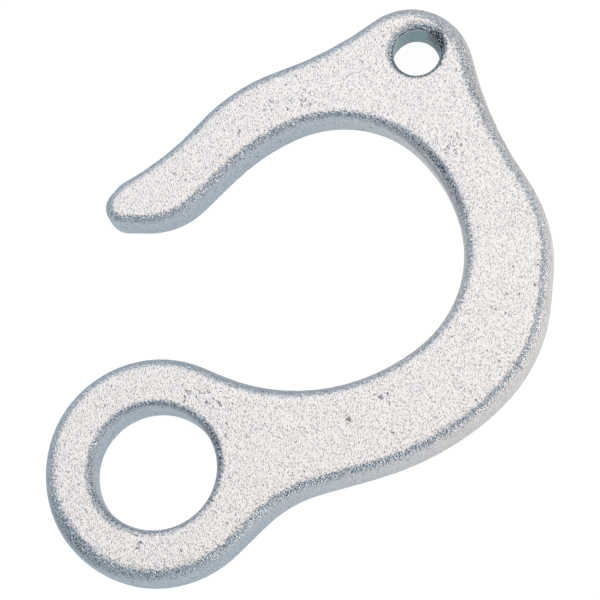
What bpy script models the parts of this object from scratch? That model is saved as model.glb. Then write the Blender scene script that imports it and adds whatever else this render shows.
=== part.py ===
# Fifi hook: one flat forged hook with a big eye, a drilled cord hole and an open throat.
# Metres, +Z up. The hook lies on its rear face, with its front face up. +Y runs from the
# eye's centre to the cord hole, and the origin is under the middle of the hook.
#
# The outline is a closed chain of arcs. It starts from the throat, a run of arcs that touch
# one another. Most outer arcs are set by how wide the metal is between them and the throat.

import bpy
import bmesh
from math import asin, atan2, ceil, cos, dist, hypot, pi, radians, sin, sqrt

# Plate
THICKNESS = 0.0060
EDGE_FILLET = 0.0012

# Eye, whose centre is the outline's own zero point
EYE_BORE = 0.0147  # diameter
EYE_WALL = 0.0063  # from the bore to the outer edge
EYE_MOUTH_WIDTH = 0.0011  # how far the rounded mouth spreads past the bore
EYE_MOUTH_DEPTH = 0.0016

# Cord hole, and the lobe of metal round it
CORD_HOLE_BORE = 0.0058  # diameter
CORD_HOLE_METAL = 0.0072  # between the throat's crown and the bore
CORD_MOUTH_WIDTH = 0.0007
CORD_MOUTH_DEPTH = 0.0012
LOBE_RADIUS = 0.0077
LOBE_SIDEWAYS = 0.0004  # the lobe's centre, seen from the cord hole
LOBE_DROP = 0.0020
NOSE_SADDLE_RADIUS = 0.0415  # hollow between the lobe and the nose
BACK_SADDLE_RADIUS = 0.0483  # hollow between the lobe and the back

# Throat arcs, from the eye round to the nose
THROAT_SIDEWAYS = -0.0018  # centre of the floor arc, seen from the eye
THROAT_RISE = 0.0365
FLOOR_RADIUS = 0.0228
FLOOR_END = -21.0  # degrees, round the floor arc's centre
BACK_RADIUS = 0.0147
BACK_SWEEP = 67.0
SHOULDER_RADIUS = 0.0214
SHOULDER_SWEEP = 30.0
CROWN_RADIUS = 0.0135
CROWN_SWEEP = 69.0
UNDERSIDE_RADIUS = 0.0254

# Outer arcs: width of the metal there, place in degrees along the throat arc, own radius
WAIST_WIDTH = 0.0119
WAIST_PLACE = -31.0  # before the end of the floor arc
WAIST_RADIUS = 0.0145
HEEL_WIDTH = 0.0114
HEEL_PLACE = -33.0  # before the end of the floor arc
HEEL_RADIUS = 0.0349
LOWER_BACK_WIDTH = 0.0116
LOWER_BACK_PLACE = 15.0  # after the start of the back arc
LOWER_BACK_RADIUS = 0.0199
UPPER_BACK_WIDTH = 0.0106
UPPER_BACK_PLACE = 47.0  # after the start of the back arc
UPPER_BACK_RADIUS = 0.0179
CREST_WIDTH = 0.0075
CREST_PLACE = 19.0  # after the start of the crown arc
CREST_RADIUS = 0.0221

# Nose, with places in degrees after the start of the underside arc
DIP_RADIUS = 0.0340  # hollow between the crest and the tip
BELLY_PLACE = 29.0
BELLY_RADIUS = 0.0093
BELLY_GAP = 0.0004  # between the underside arc and the belly arc
TIP_PLACE = 39.0
TIP_REACH = 0.0082  # from the underside arc to the centre of the upper tip arc
TIP_RADIUS = 0.0022
TIP_FLAT = 0.0015  # between the centres of the two tip arcs
TIP_HEADING = -100.0  # degrees, from the upper tip arc to the lower one

# Corners where a hollow would cut into the arc next to it
EASE_RADIUS = 0.0040
EASE_SHARE = 0.75  # at most this share of that arc's radius

# Fineness of the solid
STEP_ANGLE = 5.0  # degrees of arc between two points
FILLET_STEPS = 4
EYE_SIDES = 60
CORD_HOLE_SIDES = 40
FILLET_LIMIT = 0.45  # largest edge fillet, as a share of the thickness
SMOOTH_ANGLE = 30.0  # degrees
CUTTER_OVERRUN = 0.001  # how far a cutter stands out of the plate
MOUTH_LEAD = 0.00003  # how far above the face a rounded mouth starts
POINT_GAP = 0.00001  # points closer than this are one
WELD_DISTANCE = 0.000001

# Forged aluminium, shot-blasted
HOOK_COLOUR = (0.72, 0.71, 0.70, 1.0)
HOOK_METALLIC = 1.0
HOOK_ROUGHNESS = 0.42

FULL_TURN = 2 * pi
NEAR_FULL_TURN = 0.9 * FULL_TURN


def clear_scene():
    for obj in list(bpy.data.objects):
        bpy.data.objects.remove(obj, do_unlink=True)


def new_collection(name):
    collection = bpy.data.collections.new(name)
    bpy.context.scene.collection.children.link(collection)
    return collection


def polar(centre, distance, angle):
    turn = radians(angle)
    return centre[0] + distance * cos(turn), centre[1] + distance * sin(turn)


# An arc is (x, y, radius), with a positive radius round metal and a negative one round a hollow.
# The chain runs counter-clockwise. A heading is the direction in which it runs, in radians.


def next_hollow(hollow, radius, angle):
    # touches the hollow before it at this angle
    x, y = polar(hollow, -hollow[2] - radius, angle)
    return x, y, -radius


def convex_across(hollow, width, angle, radius):
    # outer arc with this width of metal between it and the throat
    x, y = polar(hollow, -hollow[2] + width - radius, angle)
    return x, y, radius


def hollow_across(hollow, width, angle, radius):
    x, y = polar(hollow, -hollow[2] + width + radius, angle)
    return x, y, -radius


def straight_heading(arc, following):
    # heading of the straight line that leaves one arc and meets the next, if there is one
    across, up = following[0] - arc[0], following[1] - arc[1]
    turn = (arc[2] - following[2]) / hypot(across, up)
    if abs(turn) >= 1:
        return None
    return atan2(up, across) + asin(turn)


def turn_along(first, last, radius):
    # angle run from one heading to another, the way round that an arc of this radius goes
    return (last - first if radius > 0 else first - last) % FULL_TURN


def swept(first, last, radius):
    # an arc with no room would run nearly all the way round, so its angle is nothing
    turn = turn_along(first, last, radius)
    return 0.0 if turn > NEAR_FULL_TURN else turn


def joining_arc(arc, following, radius):
    # arc of this radius that touches both, and the two headings where it touches
    across, up = following[0] - arc[0], following[1] - arc[1]
    gap = hypot(across, up)
    reach, next_reach = radius - arc[2], radius - following[2]
    along = (reach**2 - next_reach**2 + gap**2) / (2 * gap)
    aside = max(reach**2 - along**2, 0.0) ** 0.5
    # its centre is on the right of the line from one arc's centre to the next
    x = arc[0] + (along * across + aside * up) / gap
    y = arc[1] + (along * up - aside * across) / gap
    first = atan2((arc[0] - x) / reach, (y - arc[1]) / reach)
    last = atan2((following[0] - x) / next_reach, (y - following[1]) / next_reach)
    return (x, y, radius), first, last


def default_radius(arc, following):
    # two arcs that bend alike meet through their mean, and the corner of a hollow and metal is eased
    if arc[2] * following[2] > 0:
        return (arc[2] + following[2]) / 2
    return min(EASE_RADIUS, EASE_SHARE * max(arc[2], following[2]))


def cord_hole_place():
    # straight above the eye, with its wall of metal to the crown arc
    x, y, hollow = throat_arcs()[0][3]
    return 0.0, y + sqrt((CORD_HOLE_METAL + CORD_HOLE_BORE / 2 - hollow) ** 2 - x**2)


def throat_arcs():
    starts = [FLOOR_END]
    for sweep in (BACK_SWEEP, SHOULDER_SWEEP, CROWN_SWEEP):
        starts.append(starts[-1] + sweep)
    arcs = [(THROAT_SIDEWAYS, THROAT_RISE, -FLOOR_RADIUS)]
    for start, radius in zip(starts, (BACK_RADIUS, SHOULDER_RADIUS, CROWN_RADIUS, UNDERSIDE_RADIUS)):
        arcs.append(next_hollow(arcs[-1], radius, start))
    return arcs, starts


def outline_chain():
    # each entry is an arc and its join to the next: straight, an arc of a radius, or a touching angle
    (floor, back, shoulder, crown, underside), starts = throat_arcs()
    back_start, shoulder_start, crown_start, nose_start = starts
    eye = (0.0, 0.0, EYE_BORE / 2 + EYE_WALL)
    waist = hollow_across(floor, WAIST_WIDTH, back_start + WAIST_PLACE, WAIST_RADIUS)
    heel = convex_across(floor, HEEL_WIDTH, back_start + HEEL_PLACE, HEEL_RADIUS)
    lower_back = convex_across(back, LOWER_BACK_WIDTH, back_start + LOWER_BACK_PLACE, LOWER_BACK_RADIUS)
    upper_back = convex_across(back, UPPER_BACK_WIDTH, back_start + UPPER_BACK_PLACE, UPPER_BACK_RADIUS)
    hole_x, hole_y = cord_hole_place()
    lobe = (hole_x + LOBE_SIDEWAYS, hole_y - LOBE_DROP, LOBE_RADIUS)
    crest = convex_across(crown, CREST_WIDTH, crown_start + CREST_PLACE, CREST_RADIUS)
    belly_width = BELLY_GAP + 2 * BELLY_RADIUS
    belly = convex_across(underside, belly_width, nose_start + BELLY_PLACE, BELLY_RADIUS)
    tip_x, tip_y = polar(underside, UNDERSIDE_RADIUS + TIP_REACH, nose_start + TIP_PLACE)
    upper_tip = (tip_x, tip_y, TIP_RADIUS)
    tip_x, tip_y = polar(upper_tip, TIP_FLAT, TIP_HEADING)
    lower_tip = (tip_x, tip_y, TIP_RADIUS)
    return [
        (lobe, {"radius": -NOSE_SADDLE_RADIUS}),
        (crest, {"radius": -DIP_RADIUS}),
        (upper_tip, {}),
        (lower_tip, {}),
        (belly, {}),
        (underside, {"angle": nose_start}),
        (crown, {"angle": crown_start}),
        (shoulder, {"angle": shoulder_start}),
        (back, {"angle": back_start}),
        (floor, {}),
        (eye, {}),
        (waist, {}),
        (heel, {}),
        (lower_back, {}),
        (upper_back, {"radius": -BACK_SADDLE_RADIUS}),
    ]


def link(arc, join, following):
    # the arc between two arcs, if there is one, and the headings where it starts and ends
    if "angle" in join:
        heading = radians(join["angle"]) - pi / 2
        return None, heading, heading
    heading = straight_heading(arc, following)
    if "radius" in join or heading is None:
        return joining_arc(arc, following, join.get("radius", default_radius(arc, following)))
    return None, heading, heading


def linked_runs(chain):
    # every arc and joining arc with the headings where it starts and ends, and the angle each arc runs
    links = []
    for (arc, join), (following, _) in zip(chain, chain[1:] + chain[:1]):
        links.append(link(arc, join, following))
    runs = []
    turns = []
    for (arc, _), before, after in zip(chain, links[-1:] + links[:-1], links):
        runs.append((arc, before[2], after[1]))
        turns.append(turn_along(before[2], after[1], arc[2]))
        if after[0]:
            runs.append(after)
    return runs, turns


def outline_runs():
    # where an arc's neighbours leave it no room, they meet each other instead
    chain = outline_chain()
    runs, turns = linked_runs(chain)
    while max(turns) > NEAR_FULL_TURN:
        del chain[turns.index(max(turns))]
        runs, turns = linked_runs(chain)
    return runs


def outline_points(inset):
    # points round the hook, this far inside its edge
    points = []
    for (x, y, radius), first, last in outline_runs():
        sweep = swept(first, last, radius)
        steps = max(1, ceil(sweep / radians(STEP_ANGLE)))
        for step in range(steps + 1):
            heading = first + (sweep if radius > 0 else -sweep) * step / steps
            points.append((x + (radius - inset) * sin(heading), y - (radius - inset) * cos(heading)))
    befores = points[-1:] + points[:-1]
    return [point for before, point in zip(befores, points) if dist(before, point) > POINT_GAP]


def box_middle(points):
    columns = list(zip(*points))
    return [(min(column) + max(column)) / 2 for column in columns]


def make_material(name, colour, metallic, roughness):
    material = bpy.data.materials.new(name)
    material.use_nodes = True
    shader = material.node_tree.nodes["Principled BSDF"]
    shader.inputs["Base Color"].default_value = colour
    shader.inputs["Metallic"].default_value = metallic
    shader.inputs["Roughness"].default_value = roughness
    return material


def make_plate(name, collection):
    # filled flat outline with a rounded edge, turned into a welded mesh
    fillet = min(EDGE_FILLET, FILLET_LIMIT * THICKNESS)
    points = outline_points(fillet)
    outline = bpy.data.curves.new(name + "_outline", "CURVE")
    outline.dimensions = "2D"
    outline.fill_mode = "BOTH"
    outline.extrude = THICKNESS / 2 - fillet
    outline.bevel_depth = fillet
    outline.bevel_resolution = FILLET_STEPS - 1
    spline = outline.splines.new("POLY")
    spline.points.add(len(points) - 1)
    for place, (x, y) in zip(spline.points, points):
        place.co = (x, y, 0.0, 1.0)
    spline.use_cyclic_u = True
    source = bpy.data.objects.new(name + "_outline", outline)
    collection.objects.link(source)
    middle = box_middle(outline_points(0.0))
    source.location = (-middle[0], -middle[1], THICKNESS / 2)
    bpy.context.view_layer.update()

    evaluated = source.evaluated_get(bpy.context.evaluated_depsgraph_get())
    mesh = bpy.data.meshes.new_from_object(evaluated)
    mesh.name = name
    plate = bpy.data.objects.new(name, mesh)
    plate.matrix_world = source.matrix_world
    collection.objects.link(plate)
    bpy.data.objects.remove(source, do_unlink=True)

    welded = bmesh.new()
    welded.from_mesh(mesh)
    bmesh.ops.remove_doubles(welded, verts=welded.verts, dist=WELD_DISTANCE)
    bmesh.ops.recalc_face_normals(welded, faces=welded.faces)
    welded.to_mesh(mesh)
    welded.free()
    return plate


def hole_profile(bore, mouth_width, mouth_depth):
    # half section of a bore whose two mouths are rounded over to the faces, from top to bottom
    face = THICKNESS / 2
    top = face + CUTTER_OVERRUN
    upper = [(0.0, top), (bore / 2 + mouth_width, top)]
    for step in range(FILLET_STEPS + 1):
        turn = pi / 2 * step / FILLET_STEPS
        radius = bore / 2 + mouth_width * (1 - sin(turn))
        height = face + MOUTH_LEAD - (mouth_depth + MOUTH_LEAD) * (1 - cos(turn))
        upper.append((radius, height))
    lower = [(radius, -height) for radius, height in reversed(upper)]
    return upper + lower


def make_cutter(name, profile, sides, plate, place, collection):
    mesh = bpy.data.meshes.new(name)
    corners = [(radius, 0.0, height) for radius, height in profile]
    mesh.from_pydata(corners, [(i, i + 1) for i in range(len(corners) - 1)], [])
    cutter = bpy.data.objects.new(name, mesh)
    collection.objects.link(cutter)
    cutter.parent = plate
    cutter.location = (*place, 0.0)
    cutter.hide_render = True
    cutter.display_type = "WIRE"
    turned = cutter.modifiers.new("Turned", "SCREW")
    turned.axis = "Z"
    turned.angle = FULL_TURN
    turned.steps = sides
    turned.render_steps = sides
    turned.use_merge_vertices = True
    turned.merge_threshold = WELD_DISTANCE
    cut = plate.modifiers.new(name, "BOOLEAN")
    cut.operation = "DIFFERENCE"
    cut.solver = "EXACT"
    cut.object = cutter
    return cutter


def build_hook():
    clear_scene()
    parts = new_collection("fifi_hook")
    cutters = new_collection("cutters")
    hook = make_plate("forged_hook", parts)
    hook.data.materials.append(make_material("forged_aluminium", HOOK_COLOUR, HOOK_METALLIC, HOOK_ROUGHNESS))
    hook.data.shade_smooth()
    hook.data.set_sharp_from_angle(angle=radians(SMOOTH_ANGLE))
    eye = hole_profile(EYE_BORE, EYE_MOUTH_WIDTH, EYE_MOUTH_DEPTH)
    make_cutter("eye_cutter", eye, EYE_SIDES, hook, (0.0, 0.0), cutters)
    cord_hole = hole_profile(CORD_HOLE_BORE, CORD_MOUTH_WIDTH, CORD_MOUTH_DEPTH)
    make_cutter("cord_hole_cutter", cord_hole, CORD_HOLE_SIDES, hook, cord_hole_place(), cutters)


build_hook()
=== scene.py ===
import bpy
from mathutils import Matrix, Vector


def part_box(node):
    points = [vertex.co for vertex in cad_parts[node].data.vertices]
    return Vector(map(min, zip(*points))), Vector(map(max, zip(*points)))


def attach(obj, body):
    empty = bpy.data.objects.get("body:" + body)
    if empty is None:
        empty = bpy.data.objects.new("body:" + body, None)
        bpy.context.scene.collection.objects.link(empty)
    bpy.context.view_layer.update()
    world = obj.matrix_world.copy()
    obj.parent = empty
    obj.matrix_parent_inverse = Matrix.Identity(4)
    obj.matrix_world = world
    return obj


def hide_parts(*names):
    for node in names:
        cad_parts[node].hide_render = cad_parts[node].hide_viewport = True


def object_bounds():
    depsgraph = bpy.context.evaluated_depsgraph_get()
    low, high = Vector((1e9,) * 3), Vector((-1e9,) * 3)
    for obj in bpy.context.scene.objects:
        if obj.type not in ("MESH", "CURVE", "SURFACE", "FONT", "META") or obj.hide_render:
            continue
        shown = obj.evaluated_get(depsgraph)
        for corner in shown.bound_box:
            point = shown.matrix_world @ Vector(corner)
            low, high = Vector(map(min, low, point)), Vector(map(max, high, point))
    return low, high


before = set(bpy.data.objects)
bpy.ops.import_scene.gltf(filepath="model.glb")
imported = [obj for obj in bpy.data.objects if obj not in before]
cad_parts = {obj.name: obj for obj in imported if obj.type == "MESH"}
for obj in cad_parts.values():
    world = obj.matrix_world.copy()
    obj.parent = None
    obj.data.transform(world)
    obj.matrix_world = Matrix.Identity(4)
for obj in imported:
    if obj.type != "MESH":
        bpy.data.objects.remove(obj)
solidBox = [list(corner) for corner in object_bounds()]

import math

import bmesh
import bpy
import numpy as np
from mathutils import Matrix, Vector, noise
from mathutils.kdtree import KDTree

mm = 0.001


def srgb(hexColour):
    # "#rrggbb" as seen on a screen, turned to the linear values that shaders work in
    channels = [int(hexColour[i:i + 2], 16) / 255 for i in (1, 3, 5)]
    return tuple(c / 12.92 if c <= 0.04045 else ((c + 0.055) / 1.055) ** 2.4 for c in channels) + (1.0,)


def addNode(tree, kind, settings=None, links=None):
    # settings: an attribute's name or an input's name or number; links: input -> output socket
    # a colour mix has its share at input 0, its colours at inputs 6 and 7 and its result at output 2
    node = tree.nodes.new(kind)
    for key, value in (settings or {}).items():
        if isinstance(key, str) and hasattr(node, key):
            setattr(node, key, value)
        else:
            node.inputs[key].default_value = value
    for key, socket in (links or {}).items():
        tree.links.new(socket, node.inputs[key])
    return node


def newMaterial(name):
    material = bpy.data.materials.new(name)
    material.use_nodes = True
    tree = material.node_tree
    return material, tree, tree.nodes["Principled BSDF"]


def readVertices(mesh, attribute="co"):
    values = np.empty(len(mesh.vertices) * 3)
    mesh.vertices.foreach_get(attribute, values)
    return values.reshape(-1, 3)


def writeVertices(mesh, places):
    mesh.vertices.foreach_set("co", places.ravel())
    mesh.update()


def ramp(values, start, full):
    # 0 at the start, 1 where it is full, and held beyond them
    return np.clip((values - start) / (full - start), 0, 1)


def closeness(places, spot, widen=1.0):
    # 1 at the spot, fading out over its spread, as seen from above
    away = np.linalg.norm(places[:, :2] - spot["place"], axis=1)
    return np.exp(-(away / (widen * spot["spread"]))**2)


# The hook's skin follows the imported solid, which lies flat with its front face up
hookSkin = {
    "name": "hook_forging",
    "seed": 11,
    "seedShift": (17.3, 5.1, 9.7),  # moves the waves on for each seed
    "voxel": 0.25 * mm,             # size of the mesh's squares
    "evenRounds": 8,                # smoothing rounds that even out the squares
    "rollRounds": 2,                # the second settles what the first has moved
    "outlineStep": 0.1 * mm,        # between two points of the smoothed outline
    "weld": 0.001 * mm,             # corners of the solid this close are one

    # each edge: how far in its corner starts, how much its wall bulges, how far it stands out of the solid
    "edges": {
        "outer": {"corner": 1.62 * mm, "belly": 0.14 * mm, "proud": 0.10 * mm},
        "eye": {"corner": 1.28 * mm, "belly": 0.10 * mm, "proud": -0.07 * mm},
        "cordHole": {"corner": 0.95 * mm, "belly": 0.02 * mm, "proud": 0.0 * mm},
    },
    "rearCorner": {"eye": 1.75 * mm, "cordHole": 1.2 * mm},     # behind, the holes' mouths are rounder
    "squareness": 2.05,             # 2 is a round corner, more is squarer
    "reach": 2.9 * mm,              # how far in from the outline the section is shaped
    "clearance": 0.2 * mm,          # left between the outer edge's section and a hole's
    "cornerShare": 0.98,            # of the reach, which a corner takes up at most
    "sectionRounds": 24,            # halvings that find the section's surface

    "eyeShift": (-0.05 * mm, 0.08 * mm),    # the eye was pierced a little off the middle of its ring

    # the cord hole's mouth in front is nearly a straight chamfer, wider on one side and narrower opposite
    "mouth": {"depth": 0.62 * mm, "squareness": 1.35, "spread": 0.40 * mm, "towards": (-0.87, 0.50)},

    # how far the drill ran off square for each unit of depth, and the distances between which that fades
    "drill": {"lean": (0.120, 0.075), "fade": (3.6 * mm, 4.8 * mm)},

    # where the outer edge is rounder or sharper than elsewhere, and stands a little further out or in
    "edgeChanges": {
        "under the eye": {"place": (-7.5 * mm, -39.0 * mm), "spread": 8.0 * mm, "corner": 0.80 * mm},
        "eye, away from the back": {"place": (-15.8 * mm, -33.0 * mm), "spread": 7.0 * mm,
                                    "corner": 0.1 * mm, "proud": -0.22 * mm},
        "eye, towards the back": {"place": (2.7 * mm, -37.3 * mm), "spread": 7.0 * mm,
                                  "corner": 0.2 * mm, "proud": 0.08 * mm},
        "throat": {"place": (9.0 * mm, 17.0 * mm), "spread": 8.0 * mm, "corner": 0.35 * mm},
        "lobe": {"place": (2.5 * mm, 35.0 * mm), "spread": 6.0 * mm,
                 "corner": 0.40 * mm, "proud": -0.05 * mm},
        "crown, inside": {"place": (-7.0 * mm, 21.0 * mm), "spread": 6.0 * mm, "corner": -0.25 * mm},
        "nose": {"place": (-23.0 * mm, -1.0 * mm), "spread": 8.0 * mm,
                 "corner": -0.22 * mm, "proud": 0.03 * mm},
        "eye's side": {"place": (-14.4 * mm, -24.0 * mm), "spread": 5.0 * mm, "proud": -0.09 * mm},
        "back, inside": {"place": (14.6 * mm, 9.0 * mm), "spread": 7.0 * mm, "proud": -0.10 * mm},
        "back, outside": {"place": (23.5 * mm, 16.0 * mm), "spread": 6.0 * mm, "proud": -0.05 * mm},
        "eye's top": {"place": (-10.5 * mm, -15.0 * mm), "spread": 5.0 * mm, "proud": 0.05 * mm},
        "eye's bottom": {"place": (2.5 * mm, -38.5 * mm), "spread": 5.0 * mm, "proud": 0.05 * mm},
        "lobe's top": {"place": (-7.5 * mm, 38.0 * mm), "spread": 4.0 * mm, "proud": 0.06 * mm},
    },

    "swell": {"height": 0.006 * mm, "length": 7.0 * mm},    # long waves left by the forging die
    "ripple": {"height": 0.004 * mm, "length": 1.3 * mm},   # short waves, from blasting

    # the ridge where the two dies met: it strays from mid height by its wander, and comes and goes by its
    # contrast over its length; only skin that faces up or down by less than the steepness counts as wall
    "parting": {"height": 0.035 * mm, "width": 0.22 * mm, "wander": 0.25 * mm, "wanderLength": 18.0 * mm,
                "length": 9.0 * mm, "contrast": 1.2, "steepness": 0.7},

    # small dents in clusters on the front face
    "dentRadius": (0.22 * mm, 0.42 * mm),
    "dentDepth": (0.02 * mm, 0.05 * mm),
    "dentClusters": [
        {"place": (-2.6 * mm, -15.2 * mm), "spread": 1.5 * mm, "count": 9},
        {"place": (-5.6 * mm, -16.2 * mm), "spread": 0.8 * mm, "count": 3},
        {"place": (1.4 * mm, -17.8 * mm), "spread": 0.5 * mm, "count": 4},
        {"place": (3.8 * mm, -19.9 * mm), "spread": 0.3 * mm, "count": 1},
        {"place": (-1.2 * mm, -35.0 * mm), "spread": 0.7 * mm, "count": 4},
        {"place": (-16.1 * mm, 19.2 * mm), "spread": 1.0 * mm, "count": 5},
        {"place": (-12.8 * mm, 22.1 * mm), "spread": 1.2 * mm, "count": 5},
        {"place": (-17.7 * mm, 14.5 * mm), "spread": 0.5 * mm, "count": 2},
        {"place": (-21.1 * mm, 6.7 * mm), "spread": 0.6 * mm, "count": 2},
        {"place": (12.8 * mm, -9.2 * mm), "spread": 0.8 * mm, "count": 4},
        {"place": (15.0 * mm, -4.7 * mm), "spread": 0.8 * mm, "count": 3},
        {"place": (6.0 * mm, 25.9 * mm), "spread": 1.5 * mm, "count": 3},
    ],

    # where the rolled edges came out rougher and are given more painted shade between their flecks, as a
    # share added to their flecks
    "roughAndShadedPatches": {
        "top of the throat": {"place": (4.9 * mm, 22.5 * mm), "spread": 6.0 * mm, "share": 3.0},
        "inside the eye": {"place": (0.2 * mm, -19.5 * mm), "spread": 4.5 * mm, "share": 2.6},
        "eye's end": {"place": (-8.0 * mm, -38.8 * mm), "spread": 5.5 * mm, "share": 2.2},
        "lobe's side": {"place": (3.0 * mm, 34.0 * mm), "spread": 5.0 * mm, "share": 0.8},
    },

    # a line that the die dragged along the rolled edge, this far in from the outline, wiping most flecks off
    "dragLine": {"place": (5.0 * mm, 22.8 * mm), "spread": 5.5 * mm, "inside": 0.42 * mm, "width": 0.26 * mm,
                 "wiped": 0.8, "wipedTo": (1.3, 0.3)},  # widths from the line where that starts and is full

    # where the drill tore the cord hole's mouth
    "burr": {"place": (-2.7 * mm, 36.5 * mm), "spread": 1.4 * mm, "flecks": 4.0},
}


def sliceLoops(mesh, height):
    # closed outlines of the solid at this height, the one with most corners first
    cut = bmesh.new()
    cut.from_mesh(mesh)
    bmesh.ops.remove_doubles(cut, verts=cut.verts, dist=hookSkin["weld"])
    everything = cut.verts[:] + cut.edges[:] + cut.faces[:]
    sliced = bmesh.ops.bisect_plane(cut, geom=everything, plane_co=(0, 0, height), plane_no=(0, 0, 1))
    edges = {item for item in sliced["geom_cut"] if isinstance(item, bmesh.types.BMEdge)}
    loops = []
    while edges:
        edge = edges.pop()
        start, here = edge.verts
        corners = [start.co.copy()]
        while here != start:
            corners.append(here.co.copy())
            edge = next(e for e in here.link_edges if e in edges)
            edges.remove(edge)
            here = edge.other_vert(here)
        loops.append(np.array([(c.x, c.y) for c in corners]))
    cut.free()
    return sorted(loops, key=len, reverse=True)


def signedArea(loop):
    x, y = loop.T
    return 0.5 * np.sum(np.roll(x, 1) * y - x * np.roll(y, 1))


def smoothLoop(corners, hole):
    # rounds the solid's short straight sides into a smooth cubic curve, with metal on its left
    if (signedArea(corners) < 0) != hole:
        corners = corners[::-1]
    first = np.lexsort((corners[:, 1], corners[:, 0]))[-1]
    corners = np.roll(corners, -first, axis=0)      # the same corner each run, furthest towards +X
    ahead = np.roll(corners, -1, axis=0) - corners
    length = np.linalg.norm(ahead, axis=1)
    slope = ahead / length[:, None]
    before = np.roll(length, 1)
    tangent = (np.roll(slope, 1, axis=0) * length[:, None] + slope * before[:, None])
    tangent /= (length + before)[:, None]
    points = []
    for i, size in enumerate(length):
        j = (i + 1) % len(corners)
        t = np.arange(0, 1, hookSkin["outlineStep"] / size)[:, None]
        points.append(
            (2 * t**3 - 3 * t**2 + 1) * corners[i] + (t**3 - 2 * t**2 + t) * size * tangent[i]
            + (3 * t**2 - 2 * t**3) * corners[j] + (t**3 - t**2) * size * tangent[j]
        )
    return np.concatenate(points)


def outwardNormals(loop):
    run = np.roll(loop, -1, axis=0) - np.roll(loop, 1, axis=0)
    run /= np.linalg.norm(run, axis=1)[:, None]
    return np.column_stack([run[:, 1], -run[:, 0]])


def treeOf(places):
    tree = KDTree(len(places))
    for i, place in enumerate(places):
        tree.insert((*place, 0), i)
    tree.balance()
    return tree


class Edges:
    # every outline point of the hook, with its normal and the section of the edge there

    names = list(hookSkin["edges"])     # in the order that sliceLoops gives the outlines

    def __init__(self, mesh, middle, half):
        self.middle, self.half = middle, half
        mouth = hookSkin["mouth"]
        parts = []
        for kind, corners in enumerate(sliceLoops(mesh, middle)):
            name = self.names[kind]
            edge = hookSkin["edges"][name]
            loop = smoothLoop(corners, hole=name != "outer")
            normals = outwardNormals(loop)
            loop = loop + normals * edge["proud"]
            corner, belly = np.full(len(loop), edge["corner"]), np.full(len(loop), edge["belly"])
            if name == "outer":
                for change in hookSkin["edgeChanges"].values():
                    share = closeness(loop, change)
                    corner += change.get("corner", 0.0) * share
                    loop = loop + normals * (change.get("proud", 0.0) * share)[:, None]
            elif name == "eye":
                loop = loop + hookSkin["eyeShift"]
            else:
                corner -= mouth["spread"] * (normals @ mouth["towards"])
            parts.append((loop, normals, corner, belly, np.full(len(loop), kind)))
        self.places, self.normals, self.corner, self.belly, self.kind = map(np.concatenate, zip(*parts))
        # the outer section keeps clear of the one round a hole that comes close
        self.reach = np.full(len(self.places), hookSkin["reach"])
        for name in self.names[1:]:
            corner = hookSkin["edges"][name]["corner"]
            hole = self.on(name)
            self.reach[hole] = max(corner + mouth["spread"], hookSkin["rearCorner"][name])
            tree = treeOf(self.places[hole])
            for i in np.flatnonzero(self.on("outer")):
                gap = tree.find((*self.places[i], 0))[2] - corner - hookSkin["clearance"]
                self.reach[i] = min(self.reach[i], gap)
        self.corner = np.minimum(self.corner, hookSkin["cornerShare"] * self.reach)
        self.tree = treeOf(self.places)
        self.drilledAt = self.places[self.on("cordHole")].mean(axis=0)

    def on(self, name, nearest=slice(None)):
        return self.kind[nearest] == self.names.index(name)

    def section(self, across, height, nearest):
        # how many times further out the section lies than this point, seen from its own innermost middle
        reach, corner, belly = self.reach[nearest], self.corner[nearest], self.belly[nearest]
        rear, up = height < 0, np.abs(height)
        for name, rearCorner in hookSkin["rearCorner"].items():
            corner = np.where(self.on(name, nearest) & rear, rearCorner, corner)
        mouth = self.on("cordHole", nearest) & ~rear
        drop = np.where(mouth, hookSkin["mouth"]["depth"], corner)
        power = np.where(mouth, hookSkin["mouth"]["squareness"], hookSkin["squareness"])
        near, far = np.zeros(len(across)), np.ones(len(across))
        size = np.maximum(across / reach, up / self.half)
        for _ in range(hookSkin["sectionRounds"]):
            guess = (near + far) / 2
            x, y = across / size * guess, up / size * guess
            x = x + belly * (y / self.half)**2
            u = np.maximum(x - reach + corner, 0) / corner
            v = np.maximum(y - self.half + drop, 0) / drop
            outside = u**power + v**power > 1
            near, far = np.where(outside, near, guess), np.where(outside, guess, far)
        return near / size

    def roll(self, vertices):
        # moves each vertex onto the section or the flat face, and says which outline point it belongs to
        drill = hookSkin["drill"]
        away = np.linalg.norm(vertices[:, :2] - self.drilledAt, axis=1)
        slant = np.interp(away, drill["fade"], (1, 0)) * (vertices[:, 2] - self.middle)
        slant = slant[:, None] * (*drill["lean"], 0)
        vertices = vertices - slant
        nearest = np.array([self.tree.find((x, y, 0))[1] for x, y, _ in vertices])
        normal = self.normals[nearest]
        inside = np.einsum("ij,ij->i", self.places[nearest] - vertices[:, :2], normal)
        foot = vertices[:, :2] + inside[:, None] * normal
        reach = self.reach[nearest]
        across = np.maximum(reach - inside, 0.0)
        height = vertices[:, 2] - self.middle
        further = self.section(across, height, nearest)
        rolled = vertices.copy()
        edge = across > 0
        inside = np.where(edge, reach - across * further, inside)
        rolled[edge, :2] = (foot - normal * inside[:, None])[edge]
        rolled[:, 2] = self.middle + height * further
        return rolled + slant, nearest, inside


def remeshed(source):
    # even squares all over the solid
    piece = bpy.data.objects.new("squares", source.data.copy())
    bpy.context.scene.collection.objects.link(piece)
    squares = piece.modifiers.new("Squares", "REMESH")
    squares.mode = "VOXEL"
    squares.voxel_size = hookSkin["voxel"]
    even = piece.modifiers.new("Even", "SMOOTH")
    even.iterations = hookSkin["evenRounds"]
    bpy.context.view_layer.update()
    evaluated = piece.evaluated_get(bpy.context.evaluated_depsgraph_get())
    mesh = bpy.data.meshes.new_from_object(evaluated)
    bpy.data.objects.remove(piece, do_unlink=True)
    return mesh


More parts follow.
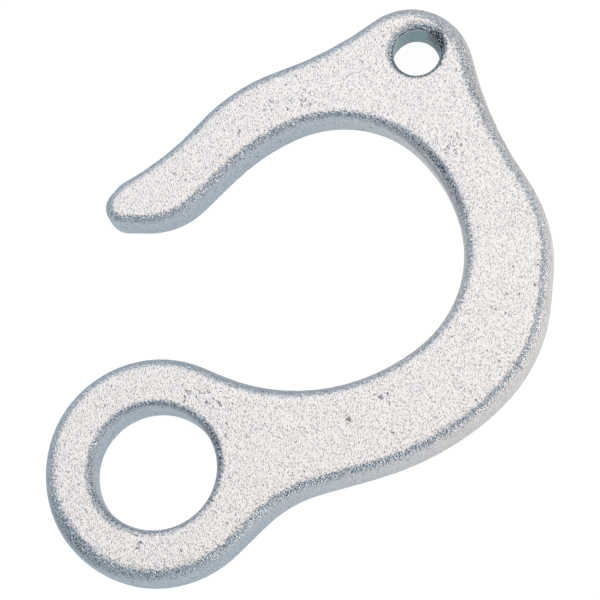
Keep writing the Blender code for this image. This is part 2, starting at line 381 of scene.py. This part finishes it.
def waves(places, length, seed):
    shift = Vector([seed * step for step in hookSkin["seedShift"]])
    return np.array([noise.noise(Vector(p / length) + shift) for p in places])


def dents():
    draw = np.random.default_rng(hookSkin["seed"])
    for cluster in hookSkin["dentClusters"]:
        for _ in range(cluster["count"]):
            place = draw.normal(cluster["place"], cluster["spread"])
            yield place, draw.uniform(*hookSkin["dentRadius"]), draw.uniform(*hookSkin["dentDepth"])


def skinRelief(places, normals, edges, nearest):
    # how far the waves, dents and parting ridge lift each vertex
    seed = hookSkin["seed"]
    swell, ripple, parting = hookSkin["swell"], hookSkin["ripple"], hookSkin["parting"]
    relief = swell["height"] * waves(places, swell["length"], seed)
    relief += ripple["height"] * waves(places, ripple["length"], seed + 1)
    front = places[:, 2] > edges.middle
    for place, radius, depth in dents():
        away = np.linalg.norm(places[:, :2] - place, axis=1) / radius
        relief -= np.where(front, depth * np.exp(-away**2), 0.0)
    level = places * (1, 1, 0)
    wander = parting["wander"] * waves(level, parting["wanderLength"], seed + 2)
    strength = np.clip(0.5 + parting["contrast"] * waves(level, parting["length"], seed + 3), 0, 1)
    offset = (places[:, 2] - edges.middle - wander) / parting["width"]
    wall = edges.on("outer", nearest) & (np.abs(normals[:, 2]) < parting["steepness"])
    return relief + np.where(wall, parting["height"] * strength * np.exp(-offset**2), 0.0)


# Aluminium alloy, hot forged between dies and then blasted with fine shot: a pale, satin, sugary grey whose
# grain glitters where it faces the light, with painted shade in its pits and creases and between the flecks
# of its rolled edges, and walls that mirror the room as blue-grey
forging = {
    "metal": "#f0eae7",
    "paintedShade": "#918e8c",             # painted shade in the pits and creases of the grain, where their relief would be shaded
    "paintedFleckShade": "#35597a",        # painted shade and painted blue reflection of the room, between the flecks along the edges
    "drilled": "#849ea1",           # the smooth bore of the cord hole, painted with the dark blue-green shade and reflection that it gets down in the hole
    "speck": "#2a2c2e",             # in its torn mouth
    "roughness": 0.17,
    "roughnessSpread": 0.02,        # more and less, in patches
    "mottle": 6.0 * mm,             # size of those patches
    "mottleLevels": {"From Min": 0.3, "From Max": 0.7},

    "relief": 0.068 * mm,           # height of the grain
    "grain": 0.140 * mm,            # real shot marks are about 0.1 mm, drawn coarse enough to show
    "struckFrom": 102.0,            # degrees round from +X
    "struckLonger": 2.0,            # how many times longer than wide the shot's marks are
    "dimple": 0.20 * mm,
    "dimpleShare": 0.2,             # of the relief
    "pit": 0.60 * mm,
    "pitShare": 0.25,               # of the relief
    "pitsAtDents": 0.10,            # how much further up the pit pattern counts as a pit near the dents
    "pitSpread": 1.2,               # times the spread of a cluster of dents
    "flat": 0.75,                   # skin that faces up by less than this has no such pits
    "flankRelief": 0.7,             # share of the grain on the walls
    "flankFacing": (0.885, 0.115),  # skin that faces up by less than the second has the walls' grain

    "fleckWidth": 0.22 * mm,        # the larger marks along the rolled edges, which sparkle
    "fleckLength": 0.55 * mm,
    "fleckRelief": 0.28 * mm,
    "fleckFacing": 3,               # a higher power moves the flecks towards the face
    "fleckFocus": 1.3,              # a higher one gathers them in a narrower band
    "fleckSides": 9.0,              # sets the pattern of the rear edge off from the front one's
    "holeFlecks": 0.7,              # share of them round the cord hole
    "boreEdge": 0.25 * mm,          # over which the drilled bore starts below the mouth
    "boreSmoothness": 0.9,          # share of the grain that the drill took off
    "tornFacing": (1.0, 0.95),      # the torn mouth starts where the skin leaves the face
    "dragRelief": 0.42 * mm,

    # levels of each pattern where a mark starts and where it is full, and how strong it is then
    "creases": {"From Min": 0.43, "From Max": 0.34, "To Max": 0.60},
    "pits": {"From Min": 0.36, "From Max": 0.28, "interpolation_type": "SMOOTHSTEP"},
    "fleckGaps": {"From Min": 0.48, "From Max": 0.42, "To Max": 0.30},
    "specks": {"From Min": 0.52, "From Max": 0.46, "To Max": 0.9},
}


def writeMarks(mesh, places, normals, edges, nearest, inside):
    # tells the material where the skin is grainy, flecked, drilled, torn, pitted or dragged
    burr, dragLine, mouthDepth = hookSkin["burr"], hookSkin["dragLine"], hookSkin["mouth"]["depth"]
    outer, cordHole = edges.on("outer", nearest), edges.on("cordHole", nearest)
    front = places[:, 2] > edges.middle
    facing = np.minimum(np.abs(normals[:, 2]), 1)   # 1 on the faces, 0 on the walls
    depth = edges.half - np.abs(places[:, 2] - edges.middle)

    bore = cordHole & (inside < forging["boreEdge"])
    drilled = np.where(bore, ramp(depth, mouthDepth, mouthDepth + forging["boreEdge"]), 0.0)
    grain = 1 - (1 - forging["flankRelief"]) * ramp(facing, *forging["flankFacing"])
    grain *= 1 - forging["boreSmoothness"] * drilled
    pitted = sum(closeness(places, cluster, forging["pitSpread"]) for cluster in hookSkin["dentClusters"])
    pitted *= front * ramp(facing, forging["flat"], 1)
    torn = closeness(places, burr) * ramp(facing, *forging["tornFacing"]) * cordHole
    dragged = closeness(places, dragLine) * (outer & front)
    fromDragLine = (inside - dragLine["inside"]) / dragLine["width"]

    upward = facing ** forging["fleckFacing"]
    flecks = (4 * upward * (1 - upward)) ** forging["fleckFocus"]   # 1 halfway down the roll, 0 off it
    patches = hookSkin["roughAndShadedPatches"].values()
    # the rough patches raise the flecks' bump and also the painted shade between them
    flecks *= 1 + sum(patch["share"] * closeness(places, patch) for patch in patches)
    flecks *= np.where(cordHole, forging["holeFlecks"] * (1 - drilled), 1.0)
    flecks += burr["flecks"] * torn
    flecks *= 1 - dragLine["wiped"] * dragged * ramp(np.abs(fromDragLine), *dragLine["wipedTo"])

    marks = {"grainHeight": grain, "fleckHeight": flecks, "drilled": drilled, "torn": torn,
             "pitted": np.minimum(pitted, 1.0), "dragged": dragged, "fromDragLine": fromDragLine}
    for name, values in marks.items():
        mark = mesh.attributes.new(name, "FLOAT", "POINT")
        mark.data.foreach_set("value", values.astype(np.float32))
    # the flecks are combed across the edge: they vary fast along the outline and slowly from face to wall
    combed = mesh.attributes.new("combed", "FLOAT_VECTOR", "POINT")
    along = nearest * hookSkin["outlineStep"] / forging["fleckWidth"]
    across = (inside - depth) / forging["fleckLength"]
    side = forging["fleckSides"] * np.sign(places[:, 2] - edges.middle)
    combed.data.foreach_set("vector", np.column_stack([along, across, side]).ravel().astype(np.float32))
    print("marks:", ", ".join(marks))


def shotBlastedForging():
    material, tree, shader = newMaterial("shot-blasted forged aluminium")
    place = addNode(tree, "ShaderNodeTexCoord").outputs["Object"]
    mark = {name: addNode(tree, "ShaderNodeAttribute", {"attribute_name": name}).outputs["Fac"] for name in (
        "grainHeight", "fleckHeight", "drilled", "torn", "pitted", "dragged", "fromDragLine")}
    combed = addNode(tree, "ShaderNodeAttribute", {"attribute_name": "combed"}).outputs["Vector"]
    # the shot came slanting in, so its marks are longer one way
    struck = addNode(tree, "ShaderNodeMapping",
                     {"vector_type": "TEXTURE", "Rotation": (0, 0, math.radians(forging["struckFrom"])),
                      "Scale": (forging["struckLonger"], 1, 1)}, {"Vector": place}).outputs["Vector"]
    grain = addNode(tree, "ShaderNodeTexNoise",
                    {"Scale": 1 / forging["grain"], "Detail": 0.5, "Roughness": 0.5},
                    {"Vector": struck}).outputs["Fac"]
    dimple = addNode(tree, "ShaderNodeTexVoronoi",
                     {"feature": "SMOOTH_F1", "Scale": 1 / forging["dimple"], "Smoothness": 0.4},
                     {"Vector": struck}).outputs["Distance"]
    fleck = addNode(tree, "ShaderNodeTexNoise",
                    {"Scale": 1.0, "Detail": 1.0, "Roughness": 0.6}, {"Vector": combed}).outputs["Fac"]
    pit = addNode(tree, "ShaderNodeTexNoise",
                  {"Scale": 1 / forging["pit"], "Detail": 2.0, "Roughness": 0.7},
                  {"Vector": place}).outputs["Fac"]
    mottle = addNode(tree, "ShaderNodeTexNoise",
                     {"Scale": 1 / forging["mottle"], "Detail": 2.0}, {"Vector": place}).outputs["Fac"]

    # height of the skin: grain and dimples less the pits, then the flecks and the dragged line
    pit = addNode(tree, "ShaderNodeMath", {"operation": "MULTIPLY_ADD", 1: -forging["pitsAtDents"]},
                  {0: mark["pitted"], 2: pit}).outputs[0]
    pits = addNode(tree, "ShaderNodeMapRange", forging["pits"], {"Value": pit}).outputs["Result"]
    height = addNode(tree, "ShaderNodeMath", {"operation": "MULTIPLY_ADD", 1: forging["dimpleShare"]},
                     {0: dimple, 2: grain}).outputs[0]
    height = addNode(tree, "ShaderNodeMath", {"operation": "MULTIPLY_ADD", 1: -forging["pitShare"]},
                     {0: pits, 2: height}).outputs[0]
    height = addNode(tree, "ShaderNodeMath", {"operation": "MULTIPLY"},
                     {0: height, 1: mark["grainHeight"]}).outputs[0]
    flecks = addNode(tree, "ShaderNodeMath", {"operation": "MULTIPLY"},
                     {0: fleck, 1: mark["fleckHeight"]}).outputs[0]
    fleckShare = forging["fleckRelief"] / forging["relief"]
    height = addNode(tree, "ShaderNodeMath", {"operation": "MULTIPLY_ADD", 1: fleckShare},
                     {0: flecks, 2: height}).outputs[0]
    offLine = addNode(tree, "ShaderNodeMath", {"operation": "ABSOLUTE"},
                      {0: mark["fromDragLine"]}).outputs[0]
    ridge = addNode(tree, "ShaderNodeMapRange",
                    {"From Min": 1.0, "From Max": 0.0, "To Max": forging["dragRelief"] / forging["relief"],
                     "interpolation_type": "SMOOTHSTEP"}, {"Value": offLine}).outputs["Result"]
    height = addNode(tree, "ShaderNodeMath", {"operation": "MULTIPLY_ADD"},
                     {0: ridge, 1: mark["dragged"], 2: height}).outputs[0]
    bump = addNode(tree, "ShaderNodeBump", {"Distance": forging["relief"]}, {"Height": height})

    # painted shade: the creases of the grain and the pits are darkened in colour, and the gaps between the
    # flecks are given a painted blue-grey shade
    creases = addNode(tree, "ShaderNodeMapRange", forging["creases"], {"Value": grain}).outputs["Result"]
    dark = addNode(tree, "ShaderNodeMath", {"operation": "MAXIMUM"}, {0: creases, 1: pits}).outputs[0]
    colour = addNode(tree, "ShaderNodeMix",
                     {"data_type": "RGBA", 6: srgb(forging["metal"]), 7: srgb(forging["paintedShade"])},
                     {0: dark}).outputs[2]
    # painted shade and painted blue reflection in the gaps between the flecks on the rolled edges, strongest
    # where the flecks are
    gaps = addNode(tree, "ShaderNodeMapRange", forging["fleckGaps"], {"Value": fleck}).outputs["Result"]
    gaps = addNode(tree, "ShaderNodeMath", {"operation": "MULTIPLY", "use_clamp": True},
                   {0: gaps, 1: mark["fleckHeight"]}).outputs[0]
    colour = addNode(tree, "ShaderNodeMix", {"data_type": "RGBA", 7: srgb(forging["paintedFleckShade"])},
                     {0: gaps, 6: colour}).outputs[2]
    # painted shade and painted blue-green reflection: the bore down in the cord hole is coloured dark
    # blue-green
    colour = addNode(tree, "ShaderNodeMix", {"data_type": "RGBA", 7: srgb(forging["drilled"])},
                     {0: mark["drilled"], 6: colour}).outputs[2]
    # the torn mouth is broken into bright and nearly black specks
    specks = addNode(tree, "ShaderNodeMapRange", forging["specks"], {"Value": fleck}).outputs["Result"]
    specks = addNode(tree, "ShaderNodeMath", {"operation": "MULTIPLY"},
                     {0: mark["torn"], 1: specks}).outputs[0]
    colour = addNode(tree, "ShaderNodeMix", {"data_type": "RGBA", 7: srgb(forging["speck"])},
                     {0: specks, 6: colour}).outputs[2]

    spread = forging["roughnessSpread"]
    roughness = {"To Min": forging["roughness"] - spread, "To Max": forging["roughness"] + spread}
    gloss = addNode(tree, "ShaderNodeMapRange", {**forging["mottleLevels"], **roughness}, {"Value": mottle})
    shader.inputs["Metallic"].default_value = 1.0
    tree.links.new(colour, shader.inputs["Base Color"])
    tree.links.new(gloss.outputs["Result"], shader.inputs["Roughness"])
    tree.links.new(bump.outputs["Normal"], shader.inputs["Normal"])
    return material


def makeHook():
    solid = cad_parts["forged_hook"]
    low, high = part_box("forged_hook")
    edges = Edges(solid.data, middle=(low.z + high.z) / 2, half=(high.z - low.z) / 2)
    print(f"edges: {len(edges.places)} outline points on {len(edges.names)} outlines")
    mesh = remeshed(solid)
    for _ in range(hookSkin["rollRounds"]):
        places, nearest, inside = edges.roll(readVertices(mesh))
        writeVertices(mesh, places)
    normals = readVertices(mesh, "normal")
    print(f"skin: {len(mesh.vertices)} vertices, {len(mesh.polygons)} squares")
    relief = skinRelief(places, normals, edges, nearest)
    writeVertices(mesh, places + normals * relief[:, None])
    writeMarks(mesh, places, normals, edges, nearest, inside)
    mesh.shade_smooth()
    mesh.materials.clear()
    mesh.materials.append(shotBlastedForging())
    hook = bpy.data.objects.new(hookSkin["name"], mesh)
    bpy.context.scene.collection.objects.link(hook)
    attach(hook, "root")
    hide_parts("forged_hook")
    print("hook: skinned")


# White paper on a light table. Glows and brightnesses are 1 where they give white on the screen
lightTable = {
    "size": 4.0,                    # metres
    "gap": 0.02 * mm,               # left under the hook
    "paper": "#8b8c8d",
    "glow": 0.93,                   # light that comes up through the paper
    "mirroredGlow": 0.76,           # the same as the metal sees it
    "mirroredColour": "#b9cad8",    # where the hook's walls mirror it, on the side of the eye and the nose
    "mirroredBright": "#f6f4f2",    # and on the back's side
    "brightSide": (0.892, 0.452, 0.0),
    "sides": {"From Min": -3 * mm, "From Max": 33 * mm},    # from the one to the other, along that direction
}


def backlitPaper():
    # a plain pale floor that the hook hardly shades
    material, tree, shader = newMaterial("backlit matt paper")
    tree.nodes.remove(shader)
    paper = addNode(tree, "ShaderNodeBsdfDiffuse", {"Color": srgb(lightTable["paper"])})
    shown = addNode(tree, "ShaderNodeEmission", {"Strength": lightTable["glow"]})
    place = addNode(tree, "ShaderNodeTexCoord").outputs["Object"]
    side = addNode(tree, "ShaderNodeVectorMath",
                   {"operation": "DOT_PRODUCT", 1: lightTable["brightSide"]}, {0: place}).outputs["Value"]
    share = addNode(tree, "ShaderNodeMapRange", lightTable["sides"], {"Value": side}).outputs["Result"]
    colours = {6: srgb(lightTable["mirroredColour"]), 7: srgb(lightTable["mirroredBright"])}
    colour = addNode(tree, "ShaderNodeMix", {"data_type": "RGBA", **colours}, {0: share}).outputs[2]
    mirrored = addNode(tree, "ShaderNodeEmission",
                       {"Strength": lightTable["mirroredGlow"]}, {"Color": colour})
    seen = addNode(tree, "ShaderNodeLightPath").outputs["Is Camera Ray"]
    glow = addNode(tree, "ShaderNodeMixShader", {}, {0: seen, 1: mirrored.outputs[0], 2: shown.outputs[0]})
    both = addNode(tree, "ShaderNodeAddShader", {}, {0: paper.outputs[0], 1: glow.outputs[0]})
    tree.links.new(both.outputs[0], tree.nodes["Material Output"].inputs["Surface"])
    return material


def makeFloor():
    height = solidBox[0][2] - lightTable["gap"]
    bpy.ops.mesh.primitive_plane_add(size=lightTable["size"], location=(0, 0, height))
    floor = bpy.context.object
    floor.name = "floor"
    floor.data.materials.append(backlitPaper())
    print("floor: laid")


# The room that the metal mirrors: blue on one side, grey on the other and the horizon, neutral above
room = {
    "nightBlue": "#2f6a8a",         # its dark side, which the rolled edges mirror
    "dayGrey": "#a5b7c6",           # its light side and horizon
    "ceiling": "#b4b3b2",
    "darkSide": (-0.10, -0.99, 0.0),
    # where each starts and is full: 1 is towards the dark side for the first, and straight up for the others
    "light": {"From Min": 1.0, "From Max": 0.35, "interpolation_type": "SMOOTHSTEP"},
    "horizon": {"From Min": 0.50, "From Max": 0.12, "To Max": 0.65, "interpolation_type": "SMOOTHSTEP"},
    "above": {"From Min": 0.80, "From Max": 0.94, "interpolation_type": "SMOOTHSTEP"},
}


def makeRoom():
    world = bpy.data.worlds.new("room")
    world.use_nodes = True
    tree = world.node_tree
    direction = addNode(tree, "ShaderNodeTexCoord").outputs["Generated"]
    height = addNode(tree, "ShaderNodeSeparateXYZ", {}, {0: direction}).outputs["Z"]
    level = addNode(tree, "ShaderNodeVectorMath", {"operation": "MULTIPLY", 1: (1, 1, 0)}, {0: direction})
    heading = addNode(tree, "ShaderNodeVectorMath", {"operation": "NORMALIZE"}, {0: level.outputs["Vector"]})
    side = addNode(tree, "ShaderNodeVectorMath", {"operation": "DOT_PRODUCT", 1: room["darkSide"]},
                   {0: heading.outputs["Vector"]}).outputs["Value"]
    light = addNode(tree, "ShaderNodeMapRange", room["light"], {"Value": side}).outputs["Result"]
    horizon = addNode(tree, "ShaderNodeMapRange", room["horizon"], {"Value": height}).outputs["Result"]
    share = addNode(tree, "ShaderNodeMath", {"operation": "MAXIMUM"}, {0: light, 1: horizon}).outputs[0]
    walls = addNode(tree, "ShaderNodeMix",
                    {"data_type": "RGBA", 6: srgb(room["nightBlue"]), 7: srgb(room["dayGrey"])},
                    {0: share}).outputs[2]
    above = addNode(tree, "ShaderNodeMapRange", room["above"], {"Value": height}).outputs["Result"]
    colour = addNode(tree, "ShaderNodeMix", {"data_type": "RGBA", 7: srgb(room["ceiling"])},
                     {0: above, 6: walls}).outputs[2]
    tree.links.new(colour, tree.nodes["Background"].inputs["Color"])
    bpy.context.scene.world = world
    print("room: painted")


# Softboxes, in metres: where the middle of each stands, and its size, glow and colour. Each faces the hook,
# but the two overhead ones hang parallel, turned as if both stood at the place in "faces"
softboxes = {
    "near overhead softbox": {"place": (-0.06, 0.263, 0.60), "faces": (-0.16, 0.09, 0.60),
                              "size": (0.40, 0.66), "glow": 0.70, "colour": "#fffdfb"},
    "far overhead softbox": {"place": (-0.235, -0.04, 0.60), "faces": (-0.16, 0.09, 0.60),
                             "size": (0.30, 0.66), "glow": 0.54, "colour": "#fffdfc"},
    "side softbox": {"place": (0.50, 0.16, 0.05), "size": (0.50, 0.10), "glow": 3.0, "colour": "#fffdfa"},
    "window softbox": {"place": (-0.62, 0.09, 0.20), "size": (0.50, 0.25), "glow": 0.6, "colour": "#f4f8ff"},
}


def makeSoftboxes():
    for name, box in softboxes.items():
        light = bpy.data.lights.new(name, "AREA")
        light.shape = "RECTANGLE"
        light.size, light.size_y = box["size"]
        light.energy = box["glow"] * math.pi * light.size * light.size_y
        light.color = srgb(box["colour"])[:3]
        lamp = bpy.data.objects.new(name, light)
        lamp.location = box["place"]
        away = Vector(box.get("faces", box["place"]))
        lamp.rotation_euler = (-away).to_track_quat("-Z", "Y").to_euler()
        bpy.context.scene.collection.objects.link(lamp)
    print(f"softboxes: {len(softboxes)}")


# The camera looks down and leans over by as much as the foreshortened holes show
camera = {
    "lookAt": (0.0 * mm, 0.41 * mm),    # on the front face, at the middle of the picture
    "lean": 17.6,                       # degrees from straight down
    "heading": -29.6,                   # degrees round from +X, towards which it leans
    "roll": 31.88,                      # degrees, from +Y to the picture's up
    "distance": 500.0 * mm,
    "nearest": 10.0 * mm,               # that it shows
    "frameWidth": 72.0 * mm,            # width of the picture at that distance
    "sensor": 36.0,                     # millimetres
}


def makeCamera():
    lean, heading = math.radians(camera["lean"]), math.radians(camera["heading"])
    back = Vector((math.sin(lean) * math.cos(heading), math.sin(lean) * math.sin(heading), math.cos(lean)))
    roll = math.radians(camera["roll"])
    up = Vector((-math.sin(roll), math.cos(roll), 0))
    up = (up - up.dot(back) * back).normalized()
    right = up.cross(back)
    data = bpy.data.cameras.new("camera")
    data.sensor_width = camera["sensor"]
    data.lens = camera["sensor"] * camera["distance"] / camera["frameWidth"]
    data.clip_start = camera["nearest"]
    viewer = bpy.data.objects.new("camera", data)
    target = Vector((*camera["lookAt"], solidBox[1][2]))
    turned = Matrix((right, up, back)).transposed().to_4x4()
    viewer.matrix_world = Matrix.Translation(target + back * camera["distance"]) @ turned
    bpy.context.scene.collection.objects.link(viewer)
    bpy.context.scene.camera = viewer
    print("camera: placed")


makeCamera()
makeHook()
makeFloor()
makeSoftboxes()
makeRoom()
bpy.context.scene.view_settings.view_transform = "Standard"
